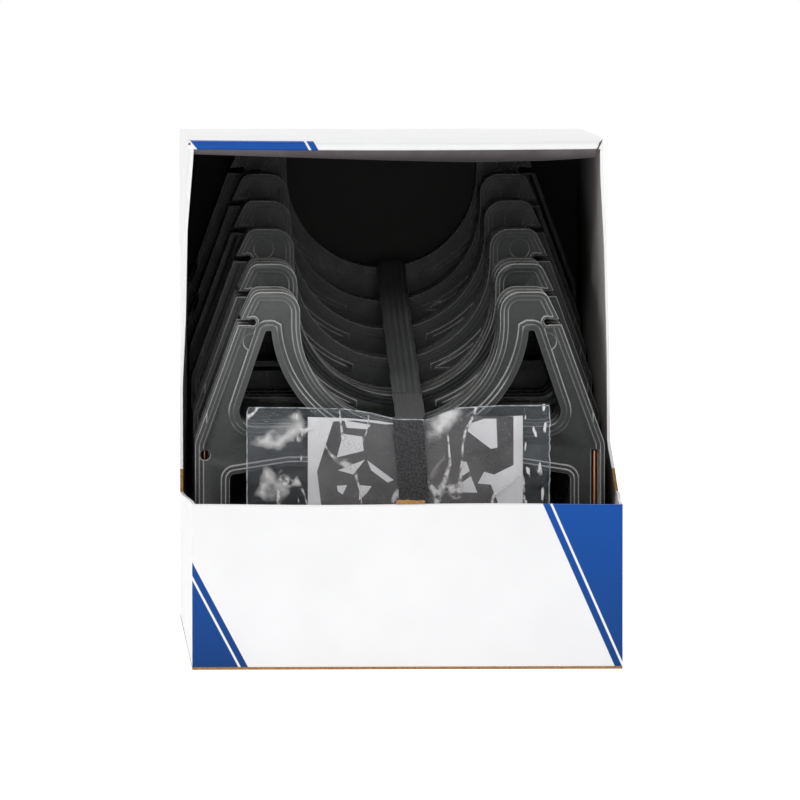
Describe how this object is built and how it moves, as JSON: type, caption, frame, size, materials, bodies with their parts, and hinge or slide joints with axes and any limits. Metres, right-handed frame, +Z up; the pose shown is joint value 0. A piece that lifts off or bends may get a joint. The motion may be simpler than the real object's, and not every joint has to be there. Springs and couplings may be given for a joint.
{
  "type": "hose support kit",
  "caption": "Accordion-folded stack of hinged hose support panels with a cradle in each, strapped together with a small polybag in an open-fronted carton.",
  "frame": {"origin": "centre of the carton's underside", "axes": "+Z up, +Y from the open front to the back, +X to the right as seen from the front"},
  "size_m": [0.228, 0.412, 0.278],
  "materials": {
    "white_board": "coated white folding boxboard",
    "kraft_board": "bare kraft inner ply",
    "black_polymer": "injection moulded black polypropylene, satin",
    "copper_steel": "copper washed steel rod",
    "hook_and_loop": "black woven hook-and-loop tape",
    "clear_film": "clear polyethylene film",
    "printed_paper": "white uncoated paper",
    "tie_webbing": "black tie-down strap"
  },
  "bodies": {
    "carton": {"carton_floor": "white_board", "carton_back": "white_board", "carton_left_wall": "white_board", "carton_right_wall": "white_board", "carton_front_wall": "white_board", "tray_liner": "kraft_board", "rear_panel_group_1": "black_polymer", "rear_panel_group_2": "black_polymer", "rear_panel_group_3": "black_polymer", "rear_panel_group_4": "black_polymer", "rear_hinge_pins": "copper_steel", "binding_strap": "hook_and_loop"},
    "panel_8": {"support_panel_8": "black_polymer", "hinge_pin_8": "copper_steel"},
    "panel_7": {"support_panel_7": "black_polymer", "hinge_pin_7": "copper_steel"},
    "panel_6": {"support_panel_6": "black_polymer", "hinge_pin_6": "copper_steel"},
    "panel_5": {"support_panel_5": "black_polymer", "hinge_pin_5": "copper_steel"},
    "panel_4": {"support_panel_4": "black_polymer", "hinge_pin_4": "copper_steel"},
    "panel_3": {"support_panel_3": "black_polymer", "hinge_pin_3": "copper_steel"},
    "panel_2": {"support_panel_2": "black_polymer", "hinge_pin_2": "copper_steel"},
    "panel_1": {"support_panel_1": "black_polymer", "hinge_pin_1": "copper_steel"},
    "bag": {"polybag_front_film": "clear_film", "polybag_back_film": "clear_film", "instruction_leaflet": "printed_paper", "tie_down_straps": "tie_webbing"},
    "lid": {"carton_lid": "white_board"}
  },
  "joints": [
    {"name": "fan_8", "type": "hinge", "parent": "carton", "child": "panel_8", "pos_m": [-0.1053, -0.0407, 0.058], "axis": [0, 0, -1], "range_deg": [0, 3], "deforming": ["binding_strap"]},
    {"name": "fan_7", "type": "hinge", "parent": "panel_8", "child": "panel_7", "pos_m": [0.1053, -0.0483, 0.058], "axis": [0, 0, 1], "range_deg": [0, 6]},
    {"name": "fan_6", "type": "hinge", "parent": "panel_7", "child": "panel_6", "pos_m": [-0.1053, -0.0559, 0.058], "axis": [0, 0, -1], "range_deg": [0, 6]},
    {"name": "fan_5", "type": "hinge", "parent": "panel_6", "child": "panel_5", "pos_m": [0.1053, -0.0635, 0.058], "axis": [0, 0, 1], "range_deg": [0, 6]},
    {"name": "fan_4", "type": "hinge", "parent": "panel_5", "child": "panel_4", "pos_m": [-0.1053, -0.0711, 0.058], "axis": [0, 0, -1], "range_deg": [0, 6]},
    {"name": "fan_3", "type": "hinge", "parent": "panel_4", "child": "panel_3", "pos_m": [0.1053, -0.0787, 0.058], "axis": [0, 0, 1], "range_deg": [0, 6]},
    {"name": "fan_2", "type": "hinge", "parent": "panel_3", "child": "panel_2", "pos_m": [-0.1053, -0.0863, 0.058], "axis": [0, 0, -1], "range_deg": [0, 6]},
    {"name": "fan_1", "type": "hinge", "parent": "panel_2", "child": "panel_1", "pos_m": [0.1053, -0.0939, 0.058], "axis": [0, 0, 1], "range_deg": [0, 6]},
    {"name": "bag_lift", "type": "slide", "parent": "panel_1", "child": "bag", "axis": [0, 0, 1], "range_m": [0, 0.2]},
    {"name": "lid_hinge", "type": "hinge", "parent": "carton", "child": "lid", "pos_m": [0, 0.2052, 0.2772], "axis": [-1, 0, 0], "range_deg": [0, 100]}
  ],
  "couplings": [
    {"joint": "fan_7", "follows": "fan_8", "ratio": 2},
    {"joint": "fan_6", "follows": "fan_8", "ratio": 2},
    {"joint": "fan_5", "follows": "fan_8", "ratio": 2},
    {"joint": "fan_4", "follows": "fan_8", "ratio": 2},
    {"joint": "fan_3", "follows": "fan_8", "ratio": 2},
    {"joint": "fan_2", "follows": "fan_8", "ratio": 2},
    {"joint": "fan_1", "follows": "fan_8", "ratio": 2}
  ]
}
